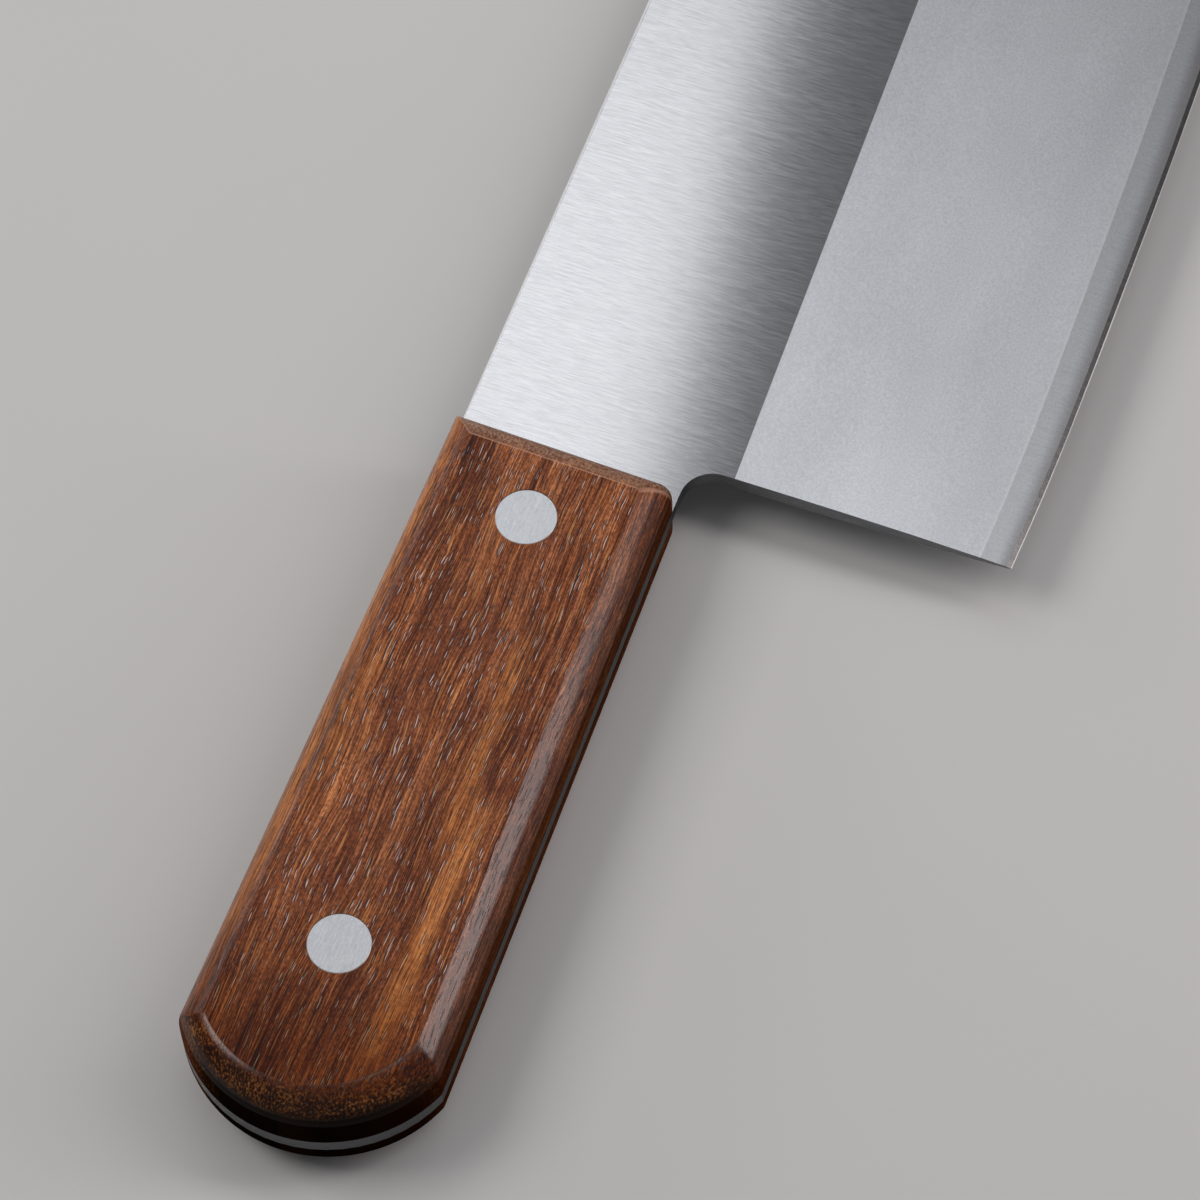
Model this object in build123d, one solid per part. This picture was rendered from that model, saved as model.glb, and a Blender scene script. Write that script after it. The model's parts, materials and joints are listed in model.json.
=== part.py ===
from build123d import *
import math
import os

# Vegetable cleaver: a clad blade with a full tang, two wooden scales and two
# flush two-piece rivets.  Millimetres.
# Drawing frame: X runs along the blade towards the tip, Y towards the spine,
# Z out of the right-hand face.  X = Y = 0 is the axis of the front rivet and
# Z = 0 the middle plane of the blade.  At the end everything is moved so that
# the origin is the centre of the outline on the surface the knife lies on.

# ---------------------------------------------------------------- sizes
T_BLADE = 2.8            # thickness of the blade at the spine and in the flats
T_CORE = 1.04            # thickness of the hard middle layer
TANG_RELIEF = 0.05       # the tang is ground this much lower under each scale
RELIEF_AHEAD = 0.12      # and this far ahead of it, which leaves a fine joint line
SPINE_Y = 17.65          # spine at the handle; it rises very slightly to the tip
SPINE_SLOPE = 0.0042
SPINE_ROUND = 0.65       # eased corner along both sides of the spine
TIP_X = 226.7
TIP_CORNER_R = 11.0      # upper front corner
HEEL_TOP_X = 21.48       # heel line: x at the choil and at the cutting edge
HEEL_EDGE_X = 21.62
CHOIL_Y = -18.95         # underside of the tang where it runs into the choil
CHOIL_R = 5.2
# cutting edge, from heel to tip
EDGE_PTS = [(21.6, -70.60), (35.0, -71.24), (55.0, -71.60), (85.0, -71.58),
            (117.0, -71.20), (150.0, -70.35), (180.0, -68.95), (205.0, -67.10),
            (226.0, -64.80)]
GRIND_Y0, GRIND_SLOPE = -25.85, 0.025    # straight line where the bevel starts
EDGE_BEVEL_W = 0.85      # width of the sharpened bevel
EDGE_BEVEL_H = (0.26, 0.17)   # half thickness behind it, at the heel and at the tip
EDGE_FLAT_H = 0.02       # half thickness at the very edge

HANDLE_H = 8.2           # scale thickness above the blade flat
FRONT_L = (15.20, 17.65)  # handle outline: front corner on the spine side
FRONT_R = (14.30, -18.82)  # front corner on the edge side
BUTT_C = (-81.0, -0.30)  # centre and radius of the butt arc
BUTT_R = 22.16
SIDE_L_REAR_Y = 18.65    # side lines where they meet the butt arc
SIDE_R_REAR_Y = -20.92
CORNER_R = 2.0           # rounded front corner on the edge side
# the flat top of each scale is bounded by these creases
TOP_FRONT_L = (10.95, 13.45)
TOP_FRONT_R = (10.30, -14.45)
TOP_BUTT_C = (-79.8, 0.70)
TOP_BUTT_R = 18.35
TOP_L_REAR_Y = 14.05
TOP_R_REAR_Y = -16.45
TOP_CORNER_R = 0.9
CREASE_PHI = 20.0        # the rounding starts this far round its ellipse
LAND_SIDE_FRONT = 2.9    # straight wall above the tang, by side
LAND_SIDE_REAR = 2.1
LAND_FRONT = 3.3
LAND_BUTT = 1.3

RIVET_X = (0.0, -75.37)
HEAD_R = 4.75            # flush rivet heads
HEAD_H = 3.2
HEAD_EASE = 0.10
SEAT_R = 4.84            # counterbore in the scale
TUBE_R = 3.15            # female shank
HOLE_R = 3.20            # drilling through scales and tang
PIN_R = 2.10             # male shank and the bore it is driven into
TUBE_GAP = 0.8           # tube stops short of the male head

os.makedirs("parts", exist_ok=True)
HB = T_BLADE / 2
HC = T_CORE / 2
ZS = HB - TANG_RELIEF            # seat plane of a scale
ZT = HB + HANDLE_H               # outer flat of a scale


def grind_y(x):
    return GRIND_Y0 + GRIND_SLOPE * (x - HEEL_TOP_X)


def spine_y(x):
    return SPINE_Y + SPINE_SLOPE * (x - FRONT_L[0])


def edge_bevel_h(x):
    t = (x - EDGE_PTS[0][0]) / (EDGE_PTS[-1][0] - EDGE_PTS[0][0])
    return EDGE_BEVEL_H[0] + (EDGE_BEVEL_H[1] - EDGE_BEVEL_H[0]) * t


def edge_y(x):
    """Cutting edge height by Catmull-Rom through the edge points."""
    p = EDGE_PTS
    if x <= p[0][0]:
        m = (p[1][1] - p[0][1]) / (p[1][0] - p[0][0])
        return p[0][1] + m * (x - p[0][0])
    if x >= p[-1][0]:
        m = (p[-1][1] - p[-2][1]) / (p[-1][0] - p[-2][0])
        return p[-1][1] + m * (x - p[-1][0])
    for i in range(len(p) - 1):
        if p[i][0] <= x <= p[i + 1][0]:
            break
    x0, y0 = p[i]
    x1, y1 = p[i + 1]
    h = x1 - x0
    s = (y1 - y0) / h
    m0 = s if i == 0 else (y1 - p[i - 1][1]) / (x1 - p[i - 1][0])
    m1 = s if i == len(p) - 2 else (p[i + 2][1] - y0) / (p[i + 2][0] - x0)
    t = (x - x0) / h
    return ((2 * t**3 - 3 * t**2 + 1) * y0 + (t**3 - 2 * t**2 + t) * h * m0
            + (3 * t**2 - 2 * t**3) * y1 + (t**3 - t**2) * h * m1)


# ---------------------------------------------------------------- blade
def circle_line_x(c, r, y):
    """x of the rear crossing of a circle and the line at height y."""
    return c[0] - math.sqrt(r * r - (y - c[1]) ** 2)


BL = (circle_line_x(BUTT_C, BUTT_R, SIDE_L_REAR_Y), SIDE_L_REAR_Y)
BR = (circle_line_x(BUTT_C, BUTT_R, SIDE_R_REAR_Y), SIDE_R_REAR_Y)


def heel_x(y):
    return HEEL_TOP_X + (HEEL_EDGE_X - HEEL_TOP_X) * (CHOIL_Y - y) / (CHOIL_Y + 70.6)


def plate(edges):
    return extrude(Face(Wire(edges)), amount=HB, both=True)


LOW = -76.0                                # runs past the cutting edge
SPLIT_X = FRONT_L[0]                       # blade and tang meet at the handle's front
choil_corner = (HEEL_TOP_X, CHOIL_Y)
tang_low = (SPLIT_X, FRONT_R[1] + (CHOIL_Y - FRONT_R[1]) * (SPLIT_X - FRONT_R[0])
            / (HEEL_TOP_X - FRONT_R[0]))
tip_top = (TIP_X - 0.9, spine_y(TIP_X - 0.9))
tip_foot = (TIP_X - 0.45, -64.8)

# forward part: spine, tip, heel line and choil
blade = plate([Edge.make_line(FRONT_L, tang_low),
               Edge.make_line(tang_low, choil_corner),
               Edge.make_line(choil_corner, (heel_x(LOW), LOW)),
               Edge.make_line((heel_x(LOW), LOW), (tip_foot[0], LOW)),
               Edge.make_line((tip_foot[0], LOW), tip_foot),
               Edge.make_three_point_arc(tip_foot, (TIP_X, -26.0), tip_top),
               Edge.make_line(tip_top, FRONT_L)])
uprights = blade.edges().filter_by(Axis.Z)
blade = fillet([e for e in uprights if abs(e.center().X - choil_corner[0]) < 0.3
                and abs(e.center().Y - choil_corner[1]) < 0.3], CHOIL_R)
uprights = blade.edges().filter_by(Axis.Z)
blade = fillet([e for e in uprights if e.center().X > TIP_X - 2 and e.center().Y > 10], TIP_CORNER_R)
# eased corners along both sides of the spine, round the front corner and down the tip
blade = fillet([e for e in blade.edges() if abs(abs(e.center().Z) - HB) < 1e-4
                and e.center().Y > SPINE_Y - 0.01 and e.center().X < 200], SPINE_ROUND)

# full tang, the same outline as the scales
tang = plate([Edge.make_line(FRONT_L, BL),
              Edge.make_three_point_arc(BL, (BUTT_C[0] - BUTT_R, BUTT_C[1]), BR),
              Edge.make_line(BR, FRONT_R),
              Edge.make_line(FRONT_R, tang_low),
              Edge.make_line(tang_low, FRONT_L)])
body = blade + tang


def bevel_half(v, h_edge):
    """Half thickness of the convex bevel, v = 0 at the grind line, 1 at the
    sharpened bevel."""
    return HB - (HB - h_edge) * (0.10 * v + 0.90 * v**2.8)


def cutter_section(x):
    """Section, in the YZ plane at x, of what is ground away above the blade."""
    yg, ye = grind_y(x), edge_y(x)
    yb = ye + EDGE_BEVEL_W
    n = 9
    he = edge_bevel_h(x)
    pts = [(x, yg + (yb - yg) * i / n, bevel_half(i / n, he)) for i in range(n + 1)]
    far = ye - 9.0
    curve = Edge.make_spline([Vector(*p) for p in pts])
    slope = (he - EDGE_FLAT_H) / EDGE_BEVEL_W
    p_b = pts[-1]
    p_e = (x, ye, EDGE_FLAT_H)
    p_f = (x, ye - 0.25, EDGE_FLAT_H - slope * 0.25)
    edges = [curve,
             Edge.make_line(p_b, p_f),
             Edge.make_line(p_f, (x, far, p_f[2])),
             Edge.make_line((x, far, p_f[2]), (x, far, HB + 3.0)),
             Edge.make_line((x, far, HB + 3.0), (x, yg, HB + 3.0)),
             Edge.make_line((x, yg, HB + 3.0), (x, yg, HB))]
    return Wire(edges)


stations = [12.0, 21.6, 35.0, 55.0, 85.0, 117.0, 150.0, 180.0, 205.0, 226.0, 236.0]
cutter = Solid.make_loft([cutter_section(x) for x in stations], False)
cutter_low = cutter.mirror(Plane.XY)
body = body - cutter
body = body - cutter_low
# what lies beyond the cutting edge is removed
beyond = [(8.0, edge_y(8.0))] + [(x, edge_y(x)) for x in
                                 [15, 21.05, 28, 35, 45, 55, 70, 85, 101, 117, 133, 150,
                                  165, 180, 193, 205, 216, 226, 236]]
edge_curve = Edge.make_spline([Vector(x, y, 0) for x, y in beyond])
p0, p1 = beyond[0], beyond[-1]
waste = Face(Wire([edge_curve, Edge.make_line(p1, (p1[0], -90)),
                   Edge.make_line((p1[0], -90), (p0[0], -90)),
                   Edge.make_line((p0[0], -90), p0)]))
body = body - extrude(waste, amount=5, both=True)

# rivet holes
for rx in RIVET_X:
    body = body - Pos(rx, 0, 0) * Cylinder(HOLE_R, 10)

# ---------------------------------------------------------------- scales
PHI0 = math.radians(CREASE_PHI)


def inset(z, land, w):
    """How far a side has come in at height z above the seat: straight up to
    the land, then an ellipse that reaches w at the flat top."""
    top = ZT - ZS
    if z <= land:
        return 0.0
    b = (top - land) / math.cos(PHI0)
    a = w / (1 - math.sin(PHI0))
    c = min(1.0, (z - land) / b)
    return a * (1 - math.sqrt(max(0.0, 1 - c * c)))


def mix(p, q, t):
    return (p[0] + (q[0] - p[0]) * t, p[1] + (q[1] - p[1]) * t)


def line_cross(p1, p2, p3, p4):
    x1, y1, x2, y2 = *p1, *p2
    x3, y3, x4, y4 = *p3, *p4
    d = (x1 - x2) * (y3 - y4) - (y1 - y2) * (x3 - x4)
    a = x1 * y2 - y1 * x2
    b = x3 * y4 - y3 * x4
    return ((a * (x3 - x4) - (x1 - x2) * b) / d, (a * (y3 - y4) - (y1 - y2) * b) / d)


def arc_line_rear(c, r, p, q):
    """Rear crossing of circle (c, r) and the line p-q."""
    dx, dy = q[0] - p[0], q[1] - p[1]
    fx, fy = p[0] - c[0], p[1] - c[1]
    A = dx * dx + dy * dy
    B = 2 * (fx * dx + fy * dy)
    C = fx * fx + fy * fy - r * r
    disc = math.sqrt(B * B - 4 * A * C)
    cands = [(-B - disc) / (2 * A), (-B + disc) / (2 * A)]
    pts = [(p[0] + t * dx, p[1] + t * dy) for t in cands]
    return min(pts, key=lambda s: s[0])


TBL = (circle_line_x(TOP_BUTT_C, TOP_BUTT_R, TOP_L_REAR_Y), TOP_L_REAR_Y)
TBR = (circle_line_x(TOP_BUTT_C, TOP_BUTT_R, TOP_R_REAR_Y), TOP_R_REAR_Y)


def section(z):
    """Outline of a scale at height z above its seat."""
    sf = inset(z, LAND_SIDE_FRONT, 1.0)      # 0 at the outline, 1 at the crease
    sr = inset(z, LAND_SIDE_REAR, 1.0)
    fr = inset(z, LAND_FRONT, 1.0)
    bu = inset(z, LAND_BUTT, 1.0)
    # lines of the two sides, taken as offsets in y at a front and a rear station
    l0 = (FRONT_L[0], FRONT_L[1] + (TOP_FRONT_L[1] - FRONT_L[1]) * sf)
    l1 = (BL[0], BL[1] + (TBL[1] - BL[1]) * sr)
    r0 = (FRONT_R[0], FRONT_R[1] + (TOP_FRONT_R[1] - FRONT_R[1]) * sf)
    r1 = (BR[0], BR[1] + (TBR[1] - BR[1]) * sr)
    f0 = (FRONT_L[0] + (TOP_FRONT_L[0] - FRONT_L[0]) * fr, FRONT_L[1])
    f1 = (FRONT_R[0] + (TOP_FRONT_R[0] - FRONT_R[0]) * fr, FRONT_R[1])
    c = mix(BUTT_C, TOP_BUTT_C, bu)
    r = BUTT_R + (TOP_BUTT_R - BUTT_R) * bu
    fl = line_cross(l0, l1, f0, f1)
    frr = line_cross(r0, r1, f0, f1)
    bl = arc_line_rear(c, r, l0, l1)
    br = arc_line_rear(c, r, r0, r1)
    rho = CORNER_R + (TOP_CORNER_R - CORNER_R) * sf
    # rounded front corner on the edge side: tangent points and mid point
    u1 = (f0[0] - frr[0], f0[1] - frr[1])
    u2 = (r1[0] - frr[0], r1[1] - frr[1])
    n1, n2 = math.hypot(*u1), math.hypot(*u2)
    u1 = (u1[0] / n1, u1[1] / n1)
    u2 = (u2[0] / n2, u2[1] / n2)
    half = math.acos(u1[0] * u2[0] + u1[1] * u2[1]) / 2
    t = rho / math.tan(half)
    a = (frr[0] + u2[0] * t, frr[1] + u2[1] * t)
    b = (frr[0] + u1[0] * t, frr[1] + u1[1] * t)
    ub = (u1[0] + u2[0], u1[1] + u2[1])
    nb = math.hypot(*ub)
    k = rho / math.sin(half) - rho
    m = (frr[0] + ub[0] / nb * k, frr[1] + ub[1] / nb * k)
    zz = ZS + z

    def P(p):
        return Vector(p[0], p[1], zz)
    bm = (c[0] - r, c[1])
    return Wire([Edge.make_line(P(fl), P(bl)),
                 Edge.make_three_point_arc(P(bl), P(bm), P(br)),
                 Edge.make_line(P(br), P(a)),
                 Edge.make_three_point_arc(P(a), P(m), P(b)),
                 Edge.make_line(P(b), P(fl))])


levels = [0.0, 1.0, 2.0, 3.0, 4.0, 5.0, 5.9, 6.7, 7.4, 7.9, ZT - ZS]
scale = Solid.make_loft([section(z) for z in levels], False)
for rx in RIVET_X:
    scale = scale - Pos(rx, 0, ZT - HEAD_H / 2) * Cylinder(SEAT_R, HEAD_H)
    scale = scale - Pos(rx, 0, ZT / 2) * Cylinder(HOLE_R, ZT + 4)
scale_right = scale
scale_left = scale.mirror(Plane.XY)

# the tang is relieved under the scales, so blade flat and tang are two faces
seat = extrude(offset(Face(section(0.0)), RELIEF_AHEAD), amount=3.0)       # from ZS upwards
body = body - seat
body = body - seat.mirror(Plane.XY)

# ---------------------------------------------------------------- layers
big = 700
core = body & Box(big, big, T_CORE)
clad_right = body & (Pos(0, 0, HC + 5) * Box(big, big, 10))
clad_left = body & (Pos(0, 0, -HC - 5) * Box(big, big, 10))


# ---------------------------------------------------------------- rivets
def male(rx):
    head = Pos(rx, 0, ZT - HEAD_H / 2) * Cylinder(HEAD_R, HEAD_H)
    rim = head.edges().filter_by(GeomType.CIRCLE).sort_by(Axis.Z)[-1]
    head = chamfer(rim, HEAD_EASE)
    length = (ZT - HEAD_H) - (-(ZT - HEAD_H) + 1.0)
    pin = Pos(rx, 0, ZT - HEAD_H - length / 2) * Cylinder(PIN_R, length)
    return head + pin


def female(rx):
    head = Pos(rx, 0, -(ZT - HEAD_H / 2)) * Cylinder(HEAD_R, HEAD_H)
    rim = head.edges().filter_by(GeomType.CIRCLE).sort_by(Axis.Z)[0]
    head = chamfer(rim, HEAD_EASE)
    z0, z1 = -(ZT - HEAD_H), ZT - HEAD_H - TUBE_GAP
    tube = Pos(rx, 0, (z0 + z1) / 2) * Cylinder(TUBE_R, z1 - z0)
    s = head + tube
    return s - Pos(rx, 0, (z0 + ZT) / 2) * Cylinder(PIN_R, ZT - z0)


nodes = {
    "blade_core": core,
    "blade_cladding_right": clad_right,
    "blade_cladding_left": clad_left,
    "handle_scale_right": scale_right,
    "handle_scale_left": scale_left,
    "front_rivet_male_half": male(RIVET_X[0]),
    "front_rivet_female_half": female(RIVET_X[0]),
    "rear_rivet_male_half": male(RIVET_X[1]),
    "rear_rivet_female_half": female(RIVET_X[1]),
}

# origin: centre of the outline, on the outer flat of the left scale
x_lo, x_hi = BUTT_C[0] - BUTT_R, TIP_X
y_lo = min(edge_y(x) for x in range(22, 226))
y_hi = SIDE_L_REAR_Y    # the handle's rear corner is the widest point
shift = Pos(-(x_lo + x_hi) / 2, -(y_lo + y_hi) / 2, ZT)
print("shift", shift.position)
for name, shape in nodes.items():
    shape = shift * shape
    solids = shape.solids()
    out = solids[0] if len(solids) == 1 else Compound(children=list(solids))
    export_step(out, f"parts/{name}.step")
    bb = out.bounding_box()
    print(name, len(solids), "solid(s)", round(sum(s.volume for s in solids), 1), "mm3", out.is_valid,
          [round(v, 2) for v in (bb.min.X, bb.min.Y, bb.min.Z, bb.max.X, bb.max.Y, bb.max.Z)])
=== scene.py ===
import json
import math

import bmesh
import bpy
from mathutils import Matrix, Vector

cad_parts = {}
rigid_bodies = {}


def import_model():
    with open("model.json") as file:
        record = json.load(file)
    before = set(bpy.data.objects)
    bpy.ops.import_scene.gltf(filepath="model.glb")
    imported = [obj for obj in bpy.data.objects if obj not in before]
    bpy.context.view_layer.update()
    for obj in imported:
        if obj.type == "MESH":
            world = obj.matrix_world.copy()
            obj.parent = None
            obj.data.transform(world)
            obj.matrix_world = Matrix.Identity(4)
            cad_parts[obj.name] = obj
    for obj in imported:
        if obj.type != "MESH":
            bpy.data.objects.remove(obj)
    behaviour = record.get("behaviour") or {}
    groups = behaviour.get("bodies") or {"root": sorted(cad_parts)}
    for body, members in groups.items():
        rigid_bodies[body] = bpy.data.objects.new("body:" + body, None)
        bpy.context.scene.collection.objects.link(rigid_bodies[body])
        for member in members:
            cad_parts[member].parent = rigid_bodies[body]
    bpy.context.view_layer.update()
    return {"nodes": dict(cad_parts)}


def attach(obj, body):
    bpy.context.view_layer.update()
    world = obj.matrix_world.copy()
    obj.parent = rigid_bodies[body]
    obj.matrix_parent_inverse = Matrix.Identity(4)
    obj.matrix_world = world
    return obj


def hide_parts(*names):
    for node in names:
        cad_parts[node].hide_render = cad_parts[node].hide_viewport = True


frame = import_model()
nodes = frame["nodes"]
scene = bpy.context.scene
MM = 0.001

# ------------------------------------------------------------------ camera
# the photograph's viewpoint, solved from the two rivet heads
cam_data = bpy.data.cameras.new("camera")
cam_data.sensor_width = 36.0
cam_data.lens = 144.0
cam_data.clip_start = 0.02
cam_data.clip_end = 20.0
camera = bpy.data.objects.new("camera", cam_data)
scene.collection.objects.link(camera)
right = Vector((0.351327, -0.936001, -0.021702))
down = Vector((-0.82483, -0.298466, -0.480181))
fwd = Vector((0.442972, 0.186601, -0.876901))
m = Matrix.Identity(4)
for i in range(3):
    m[i][0], m[i][1], m[i][2] = right[i], -down[i], -fwd[i]
m.translation = Vector((-390.096, -123.32, 650.11)) * MM
camera.matrix_world = m
scene.camera = camera
scene.view_settings.view_transform = "Standard"


# ------------------------------------------------------------------ nodes
class Net:
    """Small helper that builds a material's node tree."""

    def __init__(self, name):
        self.mat = bpy.data.materials.new(name)
        self.mat.use_nodes = True
        self.t = self.mat.node_tree
        self.t.nodes.clear()
        self.out = self.t.nodes.new("ShaderNodeOutputMaterial")
        self.bsdf = self.t.nodes.new("ShaderNodeBsdfPrincipled")
        self.link(self.bsdf.outputs[0], self.out.inputs[0])
        tc = self.t.nodes.new("ShaderNodeTexCoord")
        self.obj = self.vscale(tc.outputs["Object"], (1000, 1000, 1000))   # millimetres
        geo = self.t.nodes.new("ShaderNodeNewGeometry")
        self.true_normal = geo.outputs["True Normal"]
        sep = self.t.nodes.new("ShaderNodeSeparateXYZ")
        self.link(self.obj, sep.inputs[0])
        self.x, self.y, self.z = sep.outputs
        sep = self.t.nodes.new("ShaderNodeSeparateXYZ")
        self.link(self.true_normal, sep.inputs[0])
        self.nx, self.ny, self.nz = sep.outputs

    def link(self, a, b):
        self.t.links.new(a, b)

    def put(self, value, socket):
        if isinstance(value, bpy.types.NodeSocket):
            self.link(value, socket)
        else:
            socket.default_value = value

    def math(self, op, a, b=0.0, c=0.0, clamp=False):
        n = self.t.nodes.new("ShaderNodeMath")
        n.operation = op
        n.use_clamp = clamp
        for v, s in zip((a, b, c), n.inputs):
            self.put(v, s)
        return n.outputs[0]

    def add(self, a, b):
        return self.math("ADD", a, b)

    def sub(self, a, b):
        return self.math("SUBTRACT", a, b)

    def mul(self, a, b, clamp=False):
        return self.math("MULTIPLY", a, b, clamp=clamp)

    def mad(self, a, b, c, clamp=False):
        return self.math("MULTIPLY_ADD", a, b, c, clamp)

    def maxi(self, a, b):
        return self.math("MAXIMUM", a, b)

    def mini(self, a, b):
        return self.math("MINIMUM", a, b)

    def step(self, v, lo, hi, smooth=True):
        """0 below lo, 1 above hi; lo may be above hi."""
        n = self.t.nodes.new("ShaderNodeMapRange")
        n.interpolation_type = "SMOOTHSTEP" if smooth else "LINEAR"
        flip = lo > hi
        self.put(v, n.inputs[0])
        n.inputs[1].default_value, n.inputs[2].default_value = (hi, lo) if flip else (lo, hi)
        n.inputs[3].default_value, n.inputs[4].default_value = (1.0, 0.0) if flip else (0.0, 1.0)
        return n.outputs[0]

    def vscale(self, v, s, offset=(0, 0, 0), rotation=(0, 0, 0)):
        n = self.t.nodes.new("ShaderNodeMapping")
        self.link(v, n.inputs[0])
        n.inputs["Location"].default_value = offset
        n.inputs["Rotation"].default_value = rotation
        n.inputs["Scale"].default_value = s
        return n.outputs[0]

    def vec(self, x, y, z):
        n = self.t.nodes.new("ShaderNodeCombineXYZ")
        for v, s in zip((x, y, z), n.inputs):
            self.put(v, s)
        return n.outputs[0]

    def noise(self, v, scale=1.0, detail=3.0, rough=0.5, distortion=0.0, color=False):
        n = self.t.nodes.new("ShaderNodeTexNoise")
        self.link(v, n.inputs["Vector"])
        n.inputs["Scale"].default_value = scale
        n.inputs["Detail"].default_value = detail
        n.inputs["Roughness"].default_value = rough
        n.inputs["Distortion"].default_value = distortion
        return n.outputs["Color" if color else "Fac"]

    def voronoi(self, v, scale=1.0, feature="F1", output="Distance", randomness=1.0):
        n = self.t.nodes.new("ShaderNodeTexVoronoi")
        n.feature = feature
        self.link(v, n.inputs["Vector"])
        n.inputs["Scale"].default_value = scale
        n.inputs["Randomness"].default_value = randomness
        return n.outputs[output]

    def white(self, v):
        n = self.t.nodes.new("ShaderNodeTexWhiteNoise")
        self.link(v, n.inputs["Vector"])
        return n.outputs["Value"]

    def ramp(self, v, stops, interpolation="LINEAR"):
        n = self.t.nodes.new("ShaderNodeValToRGB")
        n.color_ramp.interpolation = interpolation
        e = n.color_ramp.elements
        while len(e) > 1:
            e.remove(e[-1])
        e[0].position, e[0].color = stops[0][0], (*stops[0][1], 1)
        for p, c in stops[1:]:
            k = e.new(p)
            k.color = (*c, 1)
        self.put(v, n.inputs[0])
        return n.outputs[0]

    def mix(self, f, a, b, blend="MIX"):
        n = self.t.nodes.new("ShaderNodeMix")
        n.data_type = "RGBA"
        n.blend_type = blend
        self.put(f, n.inputs[0])
        self.put(a if isinstance(a, bpy.types.NodeSocket) else (*a, 1), n.inputs[6])
        self.put(b if isinstance(b, bpy.types.NodeSocket) else (*b, 1), n.inputs[7])
        return n.outputs[2]

    def lerp(self, f, a, b):
        n = self.t.nodes.new("ShaderNodeMix")
        n.data_type = "FLOAT"
        self.put(f, n.inputs[0])
        self.put(a, n.inputs[2])
        self.put(b, n.inputs[3])
        return n.outputs[0]

    def bump(self, height, distance, normal=None, strength=1.0):
        """height in 0..1, distance in millimetres."""
        n = self.t.nodes.new("ShaderNodeBump")
        n.inputs["Strength"].default_value = strength
        n.inputs["Distance"].default_value = distance * MM
        self.put(height, n.inputs["Height"])
        if normal is not None:
            self.link(normal, n.inputs["Normal"])
        return n.outputs[0]

    def set(self, **kw):
        names = {"color": "Base Color", "rough": "Roughness", "metal": "Metallic", "normal": "Normal",
                 "aniso": "Anisotropic", "tangent": "Tangent", "ior": "IOR", "spec": "Specular IOR Level",
                 "coat": "Coat Weight", "coat_rough": "Coat Roughness", "sheen": "Sheen Weight",
                 "spec_tint": "Specular Tint"}
        for k, v in kw.items():
            s = self.bsdf.inputs[names[k]]
            if isinstance(v, tuple) and len(v) == 3:
                v = (*v, 1)
            self.put(v, s)


# ------------------------------------------------------------------ steel
def flat_material():
    """Brushed flats: fine lines from the spine to the edge."""
    n = Net("steel_brushed_flat")
    fine = n.noise(n.vec(n.mul(n.x, 6.0), n.mul(n.y, 0.36), n.mul(n.z, 1.5)), 1.0, 2.0, 0.6)
    mid = n.noise(n.vec(n.mul(n.x, 2.6), n.mul(n.y, 0.14), n.mul(n.z, 0.7)), 1.0, 2.0, 0.6)
    tint = n.noise(n.vec(n.mul(n.x, 2.0), n.mul(n.y, 0.3), n.z), 1.0, 2.0, 0.5)
    streak = n.add(n.mul(fine, 0.78), n.mul(mid, 0.22))
    c = n.ramp(streak, [(0.34, (0.550, 0.558, 0.585)), (0.50, (0.655, 0.663, 0.695)),
                        (0.66, (0.760, 0.768, 0.802))])
    c = n.mix(n.mul(n.step(tint, 0.40, 0.62), 0.10), c, (0.74, 0.66, 0.70))
    n.set(color=c, rough=n.mad(streak, 0.06, 0.145), metal=1.0, normal=n.bump(streak, 0.0012),
          tangent=n.vec(1.0, 0.0, 0.0))
    n.bsdf.inputs["Anisotropic"].default_value = 1.0
    return n.mat


def bevel_material():
    """Ground bevel of the cladding: a fine even matte."""
    n = Net("steel_matte_bevel")
    grain = n.noise(n.obj, 2.6, 3.0, 0.7)
    cloud = n.noise(n.vscale(n.obj, (0.02, 0.05, 0.05)), 1.0, 3.0, 0.5)
    c = n.ramp(n.mad(grain, 0.6, n.mul(cloud, 0.4)),
               [(0.36, (0.574, 0.590, 0.627)), (0.64, (0.771, 0.790, 0.832))])
    half = n.math("ABSOLUTE", n.sub(n.z, 9.6))
    lam = n.step(half, 0.546, 0.532)          # fine bright line where the layers meet
    c = n.mix(n.mul(lam, 0.22), c, (0.90, 0.86, 0.88))
    n.set(color=c, rough=n.mad(grain, 0.06, 0.37), metal=1.0, normal=n.bump(grain, 0.0022))
    return n.mat


def band_material():
    """Hard core where it shows below the cladding."""
    n = Net("steel_core_band")
    grain = n.noise(n.obj, 2.6, 3.0, 0.7)
    fine = n.noise(n.vec(n.mul(n.x, 3.5), n.mul(n.y, 0.3), n.z), 1.0, 3.0, 0.6)
    half = n.math("ABSOLUTE", n.sub(n.z, 9.6))
    # painted shade: the core band darker towards the sharpened bevel
    near = n.step(half, 0.40, 0.24)           # darkens towards the sharpened bevel
    v = n.add(n.mul(grain, 0.6), n.mul(fine, 0.4))
    c = n.ramp(v, [(0.36, (0.385, 0.396, 0.422)), (0.64, (0.500, 0.512, 0.540))])
    c = n.mix(n.mul(near, 0.62), c, (0.16, 0.155, 0.158))
    n.set(color=c, rough=n.mad(grain, 0.05, 0.37), metal=1.0, normal=n.bump(v, 0.0018))
    return n.mat


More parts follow.
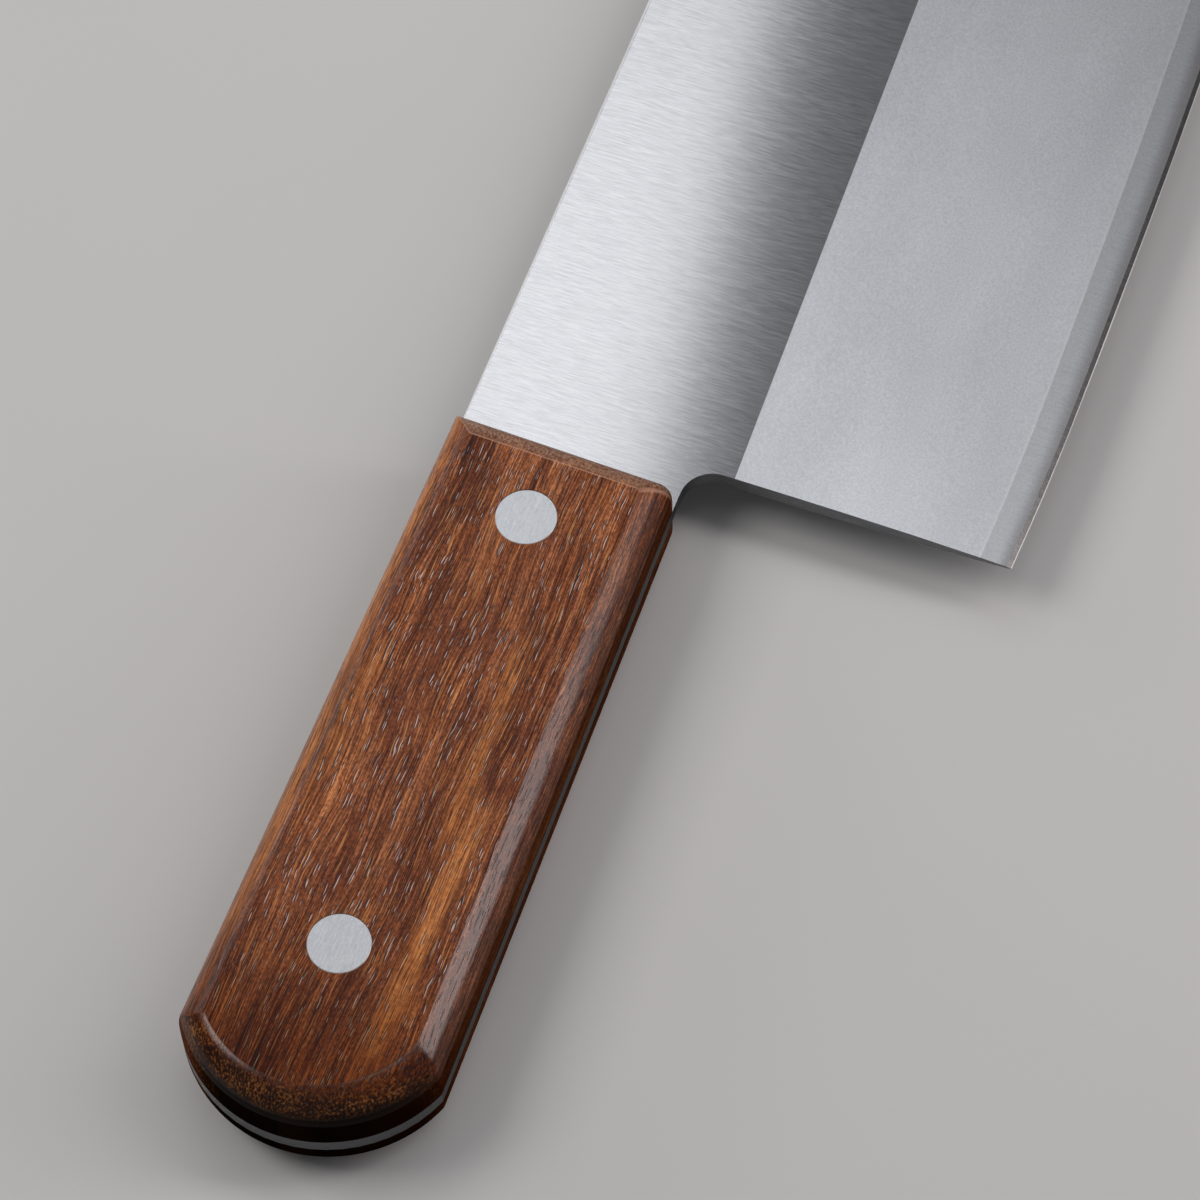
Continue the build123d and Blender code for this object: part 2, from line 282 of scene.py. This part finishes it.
def sharp_material():
    """The sharpened bevel, kept dark as painted shade, and the very edge as a painted highlight line."""
    n = Net("steel_sharpened_shade_and_highlight")
    fine = n.noise(n.vec(n.mul(n.x, 4.0), n.mul(n.y, 0.3), n.z), 1.0, 3.0, 0.6)
    half = n.math("ABSOLUTE", n.sub(n.z, 9.6))
    # painted highlight: a bright line along the very edge
    line = n.step(half, 0.055, 0.045)
    # painted shade: the sharpened bevel kept dark
    c = n.ramp(fine, [(0.35, (0.160, 0.156, 0.157)), (0.65, (0.245, 0.238, 0.237))])
    c = n.mix(line, c, (0.66, 0.64, 0.63))
    n.set(color=c, rough=n.lerp(line, 0.24, 0.5), metal=1.0, normal=n.bump(fine, 0.0012))
    return n.mat


def side_material(name, dark, light, rough=0.30):
    """Spine, heel, choil and the edge of the tang: ground along their length."""
    n = Net(name)
    fine = n.noise(n.vec(n.mul(n.x, 0.30), n.mul(n.y, 0.30), n.mul(n.z, 5.0)), 1.0, 3.0, 0.6)
    mid = n.noise(n.vec(n.mul(n.x, 0.15), n.mul(n.y, 0.15), n.mul(n.z, 1.5)), 1.0, 3.0, 0.6)
    grain = n.noise(n.obj, 3.0, 3.0, 0.65)
    v = n.add(n.add(n.mul(fine, 0.45), n.mul(mid, 0.2)), n.mul(grain, 0.35))
    n.set(color=n.ramp(v, [(0.36, dark), (0.64, light)]), rough=n.mad(v, 0.10, rough), metal=1.0,
          normal=n.bump(v, 0.0025))
    return n.mat


def rivet_material():
    n = Net("rivet_steel_finish")
    g = n.noise(n.obj, 3.2, 3.0, 0.65)
    s = n.noise(n.vec(n.mul(n.x, 0.4), n.mul(n.y, 3.6), n.z), 1.0, 3.0, 0.6)
    v = n.add(n.mul(g, 0.5), n.mul(s, 0.5))
    c = n.ramp(v, [(0.36, (0.450, 0.465, 0.496)), (0.64, (0.607, 0.622, 0.653))])
    c = n.mix(n.mul(n.step(n.x, -95.0, -110.0), 0.10), c, (0.05, 0.05, 0.05))
    n.set(color=c, rough=n.mad(v, 0.10, 0.30), metal=1.0, normal=n.bump(v, 0.0020))
    return n.mat


# ------------------------------------------------------------------ wood
def wood_material(name, seed, figure, spec):
    """figure: golden streaks as (x from, x to, y at x = 0, slope, half width, strength),
    measured from the front rivet."""
    n = Net(name)
    sx, sy, sz = seed
    kx, ky = n.add(n.x, 61.77), n.sub(n.y, 26.4955)
    half = n.math("ABSOLUTE", n.sub(n.z, 9.6))
    base = n.vec(n.add(n.x, sx), n.add(n.y, sy), n.add(n.z, sz))
    # the grain wanders a little from side to side
    w1 = n.noise(n.vscale(base, (0.022, 0.06, 0.06)), 1.0, 2.0, 0.5)
    w2 = n.noise(n.vscale(base, (0.09, 0.22, 0.22), offset=(7, 3, 1)), 1.0, 2.0, 0.5)
    shift = n.add(n.mul(n.sub(w1, 0.5), 5.0), n.mul(n.sub(w2, 0.5), 0.55))
    bx, by, bz = n.add(n.x, sx), n.add(n.add(n.y, sy), shift), n.add(n.z, sz)

    def along(a, b, detail=3.0, rough=0.55):
        return n.noise(n.vec(n.mul(bx, a), n.mul(by, b), n.mul(bz, b)), 1.0, detail, rough)

    # colour bands, streaks and fibres along the handle
    bands = along(0.010, 0.17, 2.0)
    streaks = along(0.026, 0.95)
    lines = along(0.030, 4.4)
    fibres = along(0.17, 6.4, 2.0)
    mottle = along(0.75, 1.10)
    v = n.add(n.add(n.add(n.mul(bands, 0.20), n.mul(streaks, 0.15)), n.mul(lines, 0.31)),
              n.add(n.mul(fibres, 0.27), n.mul(mottle, 0.07)))
    wood = n.ramp(v, [(0.41, (0.040, 0.009, 0.003)), (0.455, (0.105, 0.026, 0.007)),
                      (0.50, (0.190, 0.055, 0.020)), (0.545, (0.290, 0.098, 0.038)),
                      (0.60, (0.460, 0.180, 0.080))])
    speck = n.noise(n.vec(n.mul(bx, 1.7), n.mul(by, 2.9), n.mul(bz, 2.9)), 1.0, 2.0, 0.6)
    shade = n.ramp(speck, [(0.36, (0.64, 0.60, 0.58)), (0.64, (1.34, 1.36, 1.36))])
    wood = n.mix(1.0, wood, shade, "MULTIPLY")
    # broad patches, redder and deeper or warmer and paler
    patch = along(0.055, 0.16, 2.0)
    wood = n.mix(1.0, wood, n.ramp(patch, [(0.38, (0.84, 0.75, 0.72)), (0.50, (1.02, 0.99, 0.97)),
                                           (0.62, (1.25, 1.22, 1.05))]), "MULTIPLY")
    # golden figure with fine ripples across the grain
    gold = None
    for x0, x1, y0, slope, w, strength in figure:
        t = n.math("ABSOLUTE", n.sub(n.add(ky, shift), n.mad(kx, slope, y0)))
        g = n.mul(n.step(t, w, w * 0.15), n.mul(n.step(kx, x0, x0 - 12), n.step(kx, x1, x1 + 12)))
        g = n.mul(g, strength)
        gold = g if gold is None else n.maxi(gold, g)
    ripple = along(1.25, 0.85, 2.0)
    gold = n.mul(gold, n.mad(n.step(ripple, 0.36, 0.64), 0.45, 0.40))
    wood = n.mix(gold, wood, n.mix(n.step(fibres, 0.40, 0.60), (0.42, 0.125, 0.032), (0.76, 0.300, 0.085)))
    # painted light: a light orange streak along the rounding on the spine side
    left = n.mul(n.step(n.ny, 0.42, 0.72), n.step(half, 4.2, 6.4))
    left = n.mul(left, n.mad(n.step(lines, 0.40, 0.60), 0.55, 0.15))
    wood = n.mix(left, wood, (0.66, 0.235, 0.060))
    # dark purple-brown lines
    dark = along(0.050, 2.2, 2.0)
    gate = along(0.020, 0.16, 2.0)
    darkm = n.mul(n.step(dark, 0.57, 0.66), n.step(gate, 0.40, 0.60))
    wood = n.mix(n.mul(darkm, 0.70), wood, (0.026, 0.011, 0.013))
    hair = along(0.10, 4.4, 1.0)
    wood = n.mix(n.mul(n.step(hair, 0.57, 0.64), 0.55), wood, (0.040, 0.015, 0.012))
    # vessels: long thin dark pits along the grain, beside each a painted highlight where one wall would catch the
    # light, on flat-facing parts only
    top = n.step(n.math("ABSOLUTE", n.nz), 0.93, 0.985)
    py = n.add(by, n.mul(n.sub(along(0.30, 0.5, 1.0), 0.5), 0.4))
    pores, glints = None, None
    for fx, fy, r, keep, off in ((0.125, 3.00, 0.27, 0.20, 0.0), (0.20, 2.80, 0.26, 0.20, 31.7),
                                (0.31, 3.60, 0.25, 0.55, 63.1)):
        pv = n.vec(n.mul(n.add(bx, off), fx), n.mul(py, fy), n.mul(bz, fy))
        d = n.voronoi(pv, 1.0)
        pick = n.white(n.voronoi(pv, 1.0, output="Color"))
        p = n.mul(n.step(d, r, r * 0.74), n.step(pick, keep, keep + 0.03))
        pv2 = n.vec(n.mul(n.add(bx, off), fx), n.mul(n.add(py, 0.10), fy), n.mul(bz, fy))
        d2 = n.voronoi(pv2, 1.0)
        pick2 = n.white(n.voronoi(pv2, 1.0, output="Color"))
        g = n.mul(n.step(d2, r * 0.74, r * 0.46), n.step(pick2, keep + 0.08, min(keep + 0.60, 0.98)))
        pores = p if pores is None else n.maxi(pores, p)
        glints = g if glints is None else n.maxi(glints, g)
    glints = n.mul(glints, top)
    wood = n.mix(n.mul(pores, 0.84), wood, (0.026, 0.012, 0.014))
    glint_colour = n.mix(gold, (0.90, 0.77, 0.73), (0.98, 0.60, 0.28))
    wood = n.mix(n.mul(glints, 0.64), wood, glint_colour)
    # a third, finer set of warm threads: painted orange glints on flat-facing parts only
    d = n.voronoi(n.vec(n.mul(n.add(bx, 77.3), 0.085), n.mul(py, 2.7), n.mul(bz, 2.7)), 1.0)
    wood = n.mix(n.mul(n.mul(n.step(d, 0.25, 0.15), top), 0.50), wood, (0.74, 0.33, 0.105))
    # paler end grain at the front, partly its own colour and partly a painted reflection, with a painted highlight
    # line on its crease
    front = n.step(n.nx, 0.22, 0.45)
    pale = n.noise(n.vec(n.mul(bx, 1.5), n.mul(by, 3.0), n.mul(bz, 3.0)), 1.0, 3.0, 0.7)
    wood = n.mix(n.mul(front, 0.75), wood, n.ramp(pale, [(0.40, (0.12, 0.050, 0.028)), (0.60, (0.46, 0.27, 0.18))]))
    rim = n.mul(n.step(n.nx, 0.04, 0.12), n.step(n.nx, 0.36, 0.24))
    wood = n.mix(n.mul(rim, 0.55), wood, (0.62, 0.35, 0.24))
    # end grain at the butt: golden specks on dark brown, with painted shade making it near black near the tang
    end = n.step(n.mul(n.nx, -1.0), 0.22, 0.60)
    cloud = n.noise(n.vscale(base, (0.3, 0.30, 0.30)), 1.0, 2.0, 0.5)
    grain_end = n.ramp(n.add(n.mul(speck, 0.72), n.mul(cloud, 0.28)),
                       [(0.42, (0.030, 0.011, 0.005)), (0.50, (0.090, 0.034, 0.013)),
                        (0.57, (0.360, 0.165, 0.055)), (0.64, (0.640, 0.360, 0.160))])
    wood = n.mix(end, wood, grain_end)
    near = n.mul(end, n.step(half, 7.9, 6.2))
    wood = n.mix(n.mul(near, n.step(n.ny, 0.75, 0.35)), wood, (0.012, 0.009, 0.009))
    # painted light: its spine side stays brown down to the tang
    wood = n.mix(n.mul(near, n.step(n.ny, 0.45, 0.85)), wood, n.mix(1.0, shade, (0.25, 0.12, 0.11), "MULTIPLY"))
    # painted shade: the edge-side wall darker low down, and the whole darker towards the butt
    low = n.mul(n.step(half, 8.0, 5.0), n.step(n.mul(n.ny, -1.0), 0.30, 0.80))
    wood = n.mix(n.mul(low, 0.72), wood, (0.026, 0.009, 0.004))
    rear = n.step(kx, -68.0, -96.0)
    wood = n.mix(rear, wood, n.mix(1.0, wood, (0.45, 0.32, 0.18), "MULTIPLY"))
    # a dark hairline along the crease on the edge side
    crease = n.mul(n.step(n.mul(n.ny, -1.0), 0.015, 0.06), n.step(n.mul(n.ny, -1.0), 0.30, 0.20))
    wood = n.mix(n.mul(crease, 0.35), wood, (0.020, 0.007, 0.004))
    height = n.sub(n.mul(fibres, 0.16), pores)
    rough = n.lerp(pores, n.mad(lines, 0.10, 0.18), 0.30)
    n.set(color=wood, rough=rough, normal=n.bump(height, 0.016), spec=spec)
    n.bsdf.inputs["IOR"].default_value = 1.5
    return n.mat


# ------------------------------------------------------------------ scales
# the same outline and section as the solids, with the crease slightly eased
ZS, ZT = 1.35, 9.6            # seat and outer flat, from the blade's middle plane
FRONT_L, FRONT_R = (15.20, 17.65), (14.30, -18.82)
BUTT_C, BUTT_R = (-81.0, -0.30), 22.16
SIDE_L_REAR_Y, SIDE_R_REAR_Y = 18.65, -20.92
TOP_FRONT_L, TOP_FRONT_R = (10.95, 13.45), (10.30, -14.45)
TOP_BUTT_C, TOP_BUTT_R = (-79.8, 0.70), 18.35
TOP_L_REAR_Y, TOP_R_REAR_Y = 14.05, -16.45
CORNER_R, TOP_CORNER_R = 2.0, 0.9
LANDS = {"front_side": 2.9, "rear_side": 2.1, "front": 3.3, "butt": 1.3}
PHI0 = math.radians(20.0)
RIVET_X = (0.0, -75.37)
SEAT_R, RIM_R, HOLE_R, HEAD_H = 4.84, 4.77, 3.20, 3.2
SHIFT = (-61.77, 26.4955, 9.6)


def rear_x(c, r, y):
    return c[0] - math.sqrt(r * r - (y - c[1]) ** 2)


BL = (rear_x(BUTT_C, BUTT_R, SIDE_L_REAR_Y), SIDE_L_REAR_Y)
BR = (rear_x(BUTT_C, BUTT_R, SIDE_R_REAR_Y), SIDE_R_REAR_Y)
TBL = (rear_x(TOP_BUTT_C, TOP_BUTT_R, TOP_L_REAR_Y), TOP_L_REAR_Y)
TBR = (rear_x(TOP_BUTT_C, TOP_BUTT_R, TOP_R_REAR_Y), TOP_R_REAR_Y)


def inset(z, land):
    top = ZT - ZS
    if z <= land:
        return 0.0
    b = (top - land) / math.cos(PHI0)
    a = 1.0 / (1 - math.sin(PHI0))
    c = min(1.0, (z - land) / b)
    return a * (1 - math.sqrt(max(0.0, 1 - c * c)))


def lerp2(p, q, t):
    return (p[0] + (q[0] - p[0]) * t, p[1] + (q[1] - p[1]) * t)


def cross(p1, p2, p3, p4):
    x1, y1, x2, y2 = *p1, *p2
    x3, y3, x4, y4 = *p3, *p4
    d = (x1 - x2) * (y3 - y4) - (y1 - y2) * (x3 - x4)
    a = x1 * y2 - y1 * x2
    b = x3 * y4 - y3 * x4
    return ((a * (x3 - x4) - (x1 - x2) * b) / d, (a * (y3 - y4) - (y1 - y2) * b) / d)


def arc_rear(c, r, p, q):
    dx, dy = q[0] - p[0], q[1] - p[1]
    fx, fy = p[0] - c[0], p[1] - c[1]
    A, B, C = dx * dx + dy * dy, 2 * (fx * dx + fy * dy), fx * fx + fy * fy - r * r
    s = math.sqrt(B * B - 4 * A * C)
    pts = [(p[0] + t * dx, p[1] + t * dy) for t in ((-B - s) / (2 * A), (-B + s) / (2 * A))]
    return min(pts, key=lambda k: k[0])


def outline(sf, sr, fr, bu, corner=0.0):
    """Outline points of a scale for given shares of the four insets; the two butt corners
    and the front corner on the spine side are eased.  corner is not used."""
    l0 = (FRONT_L[0], FRONT_L[1] + (TOP_FRONT_L[1] - FRONT_L[1]) * sf)
    l1 = (BL[0], BL[1] + (TBL[1] - BL[1]) * sr)
    r0 = (FRONT_R[0], FRONT_R[1] + (TOP_FRONT_R[1] - FRONT_R[1]) * sf)
    r1 = (BR[0], BR[1] + (TBR[1] - BR[1]) * sr)
    f0 = (FRONT_L[0] + (TOP_FRONT_L[0] - FRONT_L[0]) * fr, FRONT_L[1])
    f1 = (FRONT_R[0] + (TOP_FRONT_R[0] - FRONT_R[0]) * fr, FRONT_R[1])
    c = lerp2(BUTT_C, TOP_BUTT_C, bu)
    r = BUTT_R + (TOP_BUTT_R - BUTT_R) * bu
    fl, frr = cross(l0, l1, f0, f1), cross(r0, r1, f0, f1)
    bl, br = arc_rear(c, r, l0, l1), arc_rear(c, r, r0, r1)
    rho = CORNER_R + (TOP_CORNER_R - CORNER_R) * sf

    def unit(a, b):
        d = math.hypot(b[0] - a[0], b[1] - a[1])
        return ((b[0] - a[0]) / d, (b[1] - a[1]) / d)

    pts = []

    def line(a, b, n, ends=0.25):
        """n + 1 points, closer together at the ends."""
        for i in range(n):
            t = i / n
            t = t + ends * (t * t * (3 - 2 * t) - t)
            pts.append(lerp2(a, b, t))

    def fillet(p, ua, ub, rad, n):
        """Arc between directions ua and ub from the corner p; returns its ends."""
        half = math.acos(max(-1, min(1, ua[0] * ub[0] + ua[1] * ub[1]))) / 2
        t = rad / math.tan(half)
        a = (p[0] + ua[0] * t, p[1] + ua[1] * t)
        b = (p[0] + ub[0] * t, p[1] + ub[1] * t)
        um = (ua[0] + ub[0], ua[1] + ub[1])
        k = rad / math.sin(half) / math.hypot(*um)
        o = (p[0] + um[0] * k, p[1] + um[1] * k)
        t0, t1 = math.atan2(a[1] - o[1], a[0] - o[0]), math.atan2(b[1] - o[1], b[0] - o[0])
        while t1 - t0 > math.pi:
            t1 -= 2 * math.pi
        while t1 - t0 < -math.pi:
            t1 += 2 * math.pi
        return [(o[0] + rad * math.cos(t0 + (t1 - t0) * i / n), o[1] + rad * math.sin(t0 + (t1 - t0) * i / n))
                for i in range(n + 1)]

    # round corners: front right, front left, butt left, butt right
    small = 0.18
    c_fr = fillet(frr, unit(frr, r1), unit(frr, fl), rho, 10)
    c_fl = fillet(fl, unit(fl, frr), unit(fl, bl), small, 4)

    def on_arc(th):
        return (c[0] + r * math.cos(th), c[1] + r * math.sin(th))
    tl = math.atan2(bl[1] - c[1], bl[0] - c[0]) % (2 * math.pi)
    tr = math.atan2(br[1] - c[1], br[0] - c[0]) % (2 * math.pi)
    d = 0.5 / r                       # the butt corners are eased over half a millimetre
    al, ar = on_arc(tl + d), on_arc(tr - d)
    ul, ur = unit(bl, fl), unit(br, frr)
    sl = (bl[0] + ul[0] * 0.5, bl[1] + ul[1] * 0.5)
    sr_ = (br[0] + ur[0] * 0.5, br[1] + ur[1] * 0.5)

    def bez(a, b, e, n):
        return [tuple((1 - t) ** 2 * a[k] + 2 * t * (1 - t) * b[k] + t * t * e[k] for k in (0, 1))
                for t in [i / n for i in range(n + 1)]]

    c_bl, c_br = bez(sl, bl, al, 4), bez(ar, br, sr_, 4)
    pts.extend(c_fl[:-1])
    line(c_fl[-1], sl, 70)
    pts.extend(c_bl[:-1])
    for i in range(48):
        pts.append(on_arc(tl + d + (tr - tl - 2 * d) * i / 48))
    pts.extend(c_br[:-1])
    line(sr_, c_fr[0], 70)
    pts.extend(c_fr[:-1])
    line(c_fr[-1], c_fl[0], 26)
    return pts


def levels():
    """(z, shares of the insets) from the seat to the flat top."""
    top = ZT - ZS
    zs = [0.0, 0.04] + [0.6 * i for i in range(1, 9)] + [4.8 + 0.16 * i for i in range(1, 20)] + [7.9, 7.96, 8.02, 8.08, 8.14]
    zs = [z for z in zs if z < top - 0.05]
    zs.append(top - 0.05)
    out = []
    for z in zs:
        s = [inset(z, LANDS[k]) for k in ("front_side", "rear_side", "front", "butt")]
        if z == 0.0:
            s = [v + 0.010 for v in s]          # a hair of easing at the tang
        out.append((z, s))
    s0, z0 = out[-1][1], out[-1][0]
    # the crease: a small blend from the rounding into the flat, wider at the butt
    eps, eps_b, z_b = 0.022, 0.07, top - 0.34
    s_b = inset(z_b, LANDS["butt"])

    def butt(z):
        if z <= z_b:
            return inset(z, LANDS["butt"])
        t = 1 - math.sqrt(max(0.0, (top - z) / (top - z_b)))
        return (1 - t) ** 2 * s_b + 2 * t * (1 - t) * 1.0 + t * t * (1.0 + eps_b)

    for i in range(1, 7):
        t = i / 6
        s = [(1 - t) ** 2 * a + 2 * t * (1 - t) * 1.0 + t * t * (1.0 + eps) for a in s0]
        z = (1 - t) ** 2 * z0 + 2 * t * (1 - t) * top + t * t * top
        out.append((z, s))
    out.append((top, [1.0 + eps + 0.03] * 4))
    out = [(z, [*s[:3], butt(z) + (0.010 if z == 0.0 else 0.0)]) for z, s in out]
    out[-1] = (top, [*out[-1][1][:3], 1.0 + eps_b + 0.03])
    return out


def make_scale(name, side):
    """side is +1 for the scale on the right-hand face, -1 for the left."""
    bm = bmesh.new()
    rings = []
    for z, s in levels():
        zz = side * (ZS + z)
        rings.append([bm.verts.new(((p[0] + SHIFT[0]) * MM, (p[1] + SHIFT[1]) * MM, (zz + SHIFT[2]) * MM))
                      for p in outline(*s)])
    n = len(rings[0])
    for a, b in zip(rings, rings[1:]):
        for i in range(n):
            bm.faces.new((a[i], a[(i + 1) % n], b[(i + 1) % n], b[i]))

    def loop(verts):
        edges = []
        for i in range(len(verts)):
            a, b = verts[i], verts[(i + 1) % len(verts)]
            edges.append(bm.edges.get((a, b)) or bm.edges.new((a, b)))
        return edges

    def circle(cx, r, z, k=72):
        return [bm.verts.new(((cx + r * math.cos(2 * math.pi * i / k) + SHIFT[0]) * MM,
                              (r * math.sin(2 * math.pi * i / k) + SHIFT[1]) * MM,
                              (side * z + SHIFT[2]) * MM)) for i in range(k)]

    def bridge(a, b):
        k = len(a)
        for i in range(k):
            bm.faces.new((a[i], a[(i + 1) % k], b[(i + 1) % k], b[i]))

    top_loops, seat_loops, sharp_loops, caps = [rings[-1]], [rings[0]], [rings[-1], rings[0]], []
    for cx in RIVET_X:
        outer = circle(cx, RIM_R + 0.03, ZT)
        lip = circle(cx, RIM_R + 0.009, ZT - 0.009)
        wall = circle(cx, RIM_R, ZT - 0.03)
        neck = circle(cx, RIM_R, ZT - 0.40)
        foot = circle(cx, SEAT_R, ZT - HEAD_H)
        hole = circle(cx, HOLE_R, ZT - HEAD_H)
        end = circle(cx, HOLE_R, ZS)
        for a, b in ((outer, lip), (lip, wall), (wall, neck), (neck, foot), (foot, hole), (hole, end)):
            bridge(a, b)
        top_loops.append(outer)
        sharp_loops.append(outer)
        seat_loops.append(end)
    for loops in (top_loops, seat_loops):
        edges = [e for lp in loops for e in loop(lp)]
        filled = bmesh.ops.triangle_fill(bm, use_beauty=True, use_dissolve=False, edges=edges)
        caps += [g for g in filled["geom"] if isinstance(g, bmesh.types.BMFace)]
    bmesh.ops.recalc_face_normals(bm, faces=bm.faces)
    for f in bm.faces:
        f.smooth = True
    for f in caps:
        f.smooth = False
    for e in (e for lp in sharp_loops for e in loop(lp)):
        e.smooth = False
    for e in bm.edges:
        if len(e.link_faces) == 2 and e.calc_face_angle(0) > math.radians(35):
            e.smooth = False
    bad = [e for e in bm.edges if len(e.link_faces) != 2]
    print(name, "verts", len(bm.verts), "faces", len(bm.faces), "open edges", len(bad))
    me = bpy.data.meshes.new(name)
    bm.to_mesh(me)
    bm.free()
    o = bpy.data.objects.new(name, me)
    scene.collection.objects.link(o)
    return o


scale_right = make_scale("wood_scale_right", 1)
scale_left = make_scale("wood_scale_left", -1)
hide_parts("handle_scale_right")
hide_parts("handle_scale_left")
for o in (scale_right, scale_left):
    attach(o, "root")
FIGURE = ((-44, -100, -12.2, -0.012, 2.9, 1.0), (-14, -62, -5.6, 0.06, 2.6, 0.60),
          (-22, -58, 12.0, -0.02, 2.6, 0.55), (8, -24, 4.0, 0.05, 2.0, 0.40),
          (6, -78, 17.0, 0.015, 1.2, 0.70))
for o, tag, seed in ((scale_right, "right", (131.0, 47.0, 19.0)), (scale_left, "left", (311.0, 83.0, 57.0))):
    # one finish, less glossy towards the tang
    for level, gloss in (("top", 0.42), ("mid", 0.24), ("low", 0.08), ("foot", 0.0), ("flat", 0.13)):
        o.data.materials.append(wood_material("handle_wood_%s_%s" % (tag, level), seed, FIGURE, gloss))
    for p in o.data.polygons:
        h = abs(p.center.z / MM - 9.6)
        if abs(p.normal.y) < 0.5 and p.normal.x > 0.2:
            continue
        level = 0 if h > 7.3 else 1 if h > 6.5 else 2 if h > 5.7 else 3
        if p.normal.y > 0.25:
            level = max(level, 1)
        p.material_index = 4 if h > 9.59 else level


# ------------------------------------------------------------------ steel pieces
def grind_y(x):
    return 1.653 + 0.025 * x


def dressed(node, name, materials, pick):
    """A copy of a CAD piece with a finish of its own on each of its faces."""
    src = nodes[node]
    me = src.data.copy()
    me.name = name
    o = bpy.data.objects.new(name, me)
    scene.collection.objects.link(o)
    me.materials.clear()
    for k in materials:
        me.materials.append(k)
    for p in me.polygons:
        p.material_index = pick(p.center / MM, p.normal)
    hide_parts(node)
    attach(o, "root")
    return o


flat, bevel, band, sharp = flat_material(), bevel_material(), band_material(), sharp_material()
# painted shade: heel, choil and the blade's side faces kept far darker than the steel of the flats
clad_side = side_material("steel_side_painted_shade", (0.095, 0.098, 0.104), (0.23, 0.235, 0.247))
# painted highlight: the spine side near white
spine_side = side_material("steel_spine_painted_highlight", (0.84, 0.845, 0.86), (0.94, 0.945, 0.96), 0.55)
# painted shade: the tang's edges dark
tang_side = side_material("steel_tang_edge_painted_shade", (0.075, 0.078, 0.084), (0.115, 0.119, 0.127), 0.36)
rivet = rivet_material()
rim = side_material("rivet_rim", (0.74, 0.75, 0.76), (0.88, 0.89, 0.90), 0.50)


def pick_side(c, n):
    if c.x < -48.0:
        return 5 if n.y < -0.7 and abs(n.x) < 0.2 else 3
    return 4 if n.y > 0.3 else 2


def pick_clad(c, n):
    if abs(n.z) < 0.97:
        return pick_side(c, n)
    return 1 if c.y < grind_y(c.x) else 0


def pick_core(c, n):
    if abs(n.z) < 0.5:
        return 1 if c.y < -36.0 and n.y < -0.5 else pick_side(c, n)
    return 1 if abs(n.z) < 0.985 else 0


# painted shade: the tang's edge on the cutting-edge side, between the two scales, near black
tang_edge_side_shade = side_material("steel_tang_near_black_shade", (0.024, 0.025, 0.028), (0.045, 0.047, 0.052), 0.42)
SIDES = (clad_side, tang_side, spine_side, tang_edge_side_shade)
dressed("blade_cladding_right", "cladding_right", (flat, bevel, *SIDES), pick_clad)
dressed("blade_cladding_left", "cladding_left", (flat, bevel, *SIDES), pick_clad)
dressed("blade_core", "core", (band, sharp, *SIDES), pick_core)
for name in sorted(nodes):
    if "rivet" in name:
        dressed(name, name + "_finished", (rivet, rim),
                lambda c, n: 1 if 0.3 < abs(n.z) < 0.93 and abs(c.z - 9.6) > 9.3 else 0)


# ------------------------------------------------------------------ studio
def plain(name, color, rough):
    n = Net(name)
    v = n.noise(n.obj, 0.02, 2.0)
    n.set(color=n.mix(v, color, tuple(c * 0.97 for c in color)), rough=rough)
    return n.mat


bm = bmesh.new()
bmesh.ops.create_grid(bm, x_segments=1, y_segments=1, size=3.0)
me = bpy.data.meshes.new("floor")
bm.to_mesh(me)
bm.free()
floor = bpy.data.objects.new("floor", me)
scene.collection.objects.link(floor)
me.materials.append(plain("floor_paper", (0.60, 0.60, 0.595), 0.75))

world = bpy.data.worlds.new("studio")
scene.world = world
world.use_nodes = True
world.node_tree.nodes["Background"].inputs[0].default_value = (0.95, 0.97, 1.0, 1)
world.node_tree.nodes["Background"].inputs[1].default_value = 0.12


def panel(name, loc, target, size, radiance, color=(1, 1, 1), spin=None):
    """Rectangular soft light; size in metres, radiance as seen directly."""
    d = bpy.data.lights.new(name, "AREA")
    d.shape = "RECTANGLE"
    d.size, d.size_y = size
    d.energy = radiance * math.pi * size[0] * size[1]
    d.color = color
    o = bpy.data.objects.new(name, d)
    scene.collection.objects.link(o)
    if spin is None:
        v = Vector(target) - Vector(loc)
        o.rotation_euler = v.to_track_quat("-Z", "Y").to_euler()
    else:
        o.rotation_euler = (0.0, 0.0, spin)      # faces straight down
    o.location = loc
    return o


def ceiling(name, x0, x1, y0, y1, z, radiance, color=(1, 1, 1)):
    return panel(name, ((x0 + x1) / 2, (y0 + y1) / 2, z), ((x0 + x1) / 2, (y0 + y1) / 2 + 1e-4, 0),
                 (x1 - x0, y1 - y0), radiance, color, 0.0)


SLANT = math.atan(0.18)


# wide reflectors overhead, which the blade mirrors, and two smaller lamps
panel("soft_top_back", (0.4770, 0.5456, 1.0), (0.4770, 0.5457, 0.0), (0.567, 0.65), 1.37, (0.995, 1, 1), SLANT)
ceiling("soft_top_front", 0.20, 0.47, -0.30, 0.13, 1.0, 2.0)
ceiling("soft_top_left", -0.16, 0.20, -0.30, 0.13, 1.0, 0.95)
panel("lamp_back", (-0.19, 0.665, 0.83), (-0.07, 0.02, 0.0), (0.50, 0.50), 5.0, (1.0, 0.965, 0.95))
lamp = panel("lamp_front", (0.195, -0.54, 0.52), (0.195, 0.02, 0.0), (0.20, 0.78), 5.7, (1.0, 0.94, 0.94))
# the front lamp is for the wood: its glare in the broad steel is left out
shaded = bpy.data.collections.new("not_lit_by_lamp_front")
for o in list(scene.objects):
    if o.type == "MESH" and "cladding" in o.name:
        shaded.objects.link(o)
lamp.light_linking.receiver_collection = shaded
for link in shaded.collection_objects:
    link.light_linking.link_state = "EXCLUDE"
panel("soft_wall_back", (0.30, 1.02, 0.36), (-0.11, 0.04, 0.02), (0.70, 0.34), 1.8)
